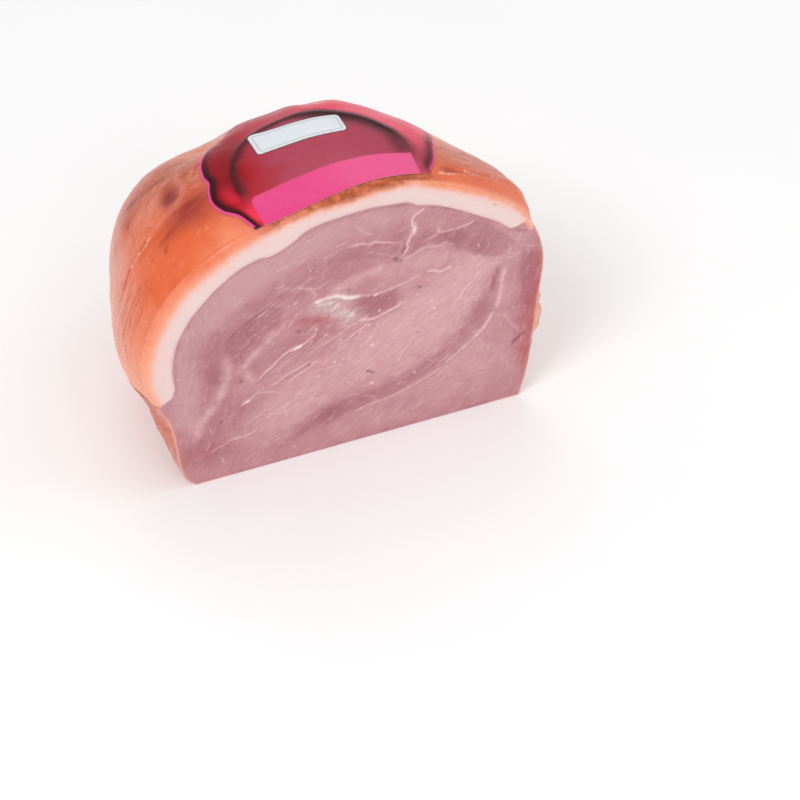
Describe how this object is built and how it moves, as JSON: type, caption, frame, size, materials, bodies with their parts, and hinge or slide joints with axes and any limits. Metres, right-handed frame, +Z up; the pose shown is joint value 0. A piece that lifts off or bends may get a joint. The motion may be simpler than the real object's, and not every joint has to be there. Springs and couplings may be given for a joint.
{
  "type": "half of a boneless glazed ham",
  "caption": "Domed half of a cooked boneless ham, cut flat across the front, with pink lean meat, a white fat cap under orange rind, and a plain printed label on top.",
  "frame": {"origin": "on the floor under the middle of the ham's box", "axes": "+X along the foot of the cut face, to the right as the cut face is looked at; +Y from the cut face towards the round back; +Z up"},
  "size_m": [0.2052, 0.14, 0.1623],
  "materials": {
    "lean_meat": "moist cut meat with pale seams",
    "fat_and_rind": "glossy glazed rind over white fat",
    "label_print": "smooth printed film"
  },
  "bodies": {
    "root": {"lean": "lean_meat", "fat_cap": "fat_and_rind", "label": "label_print"}
  },
  "joints": []
}
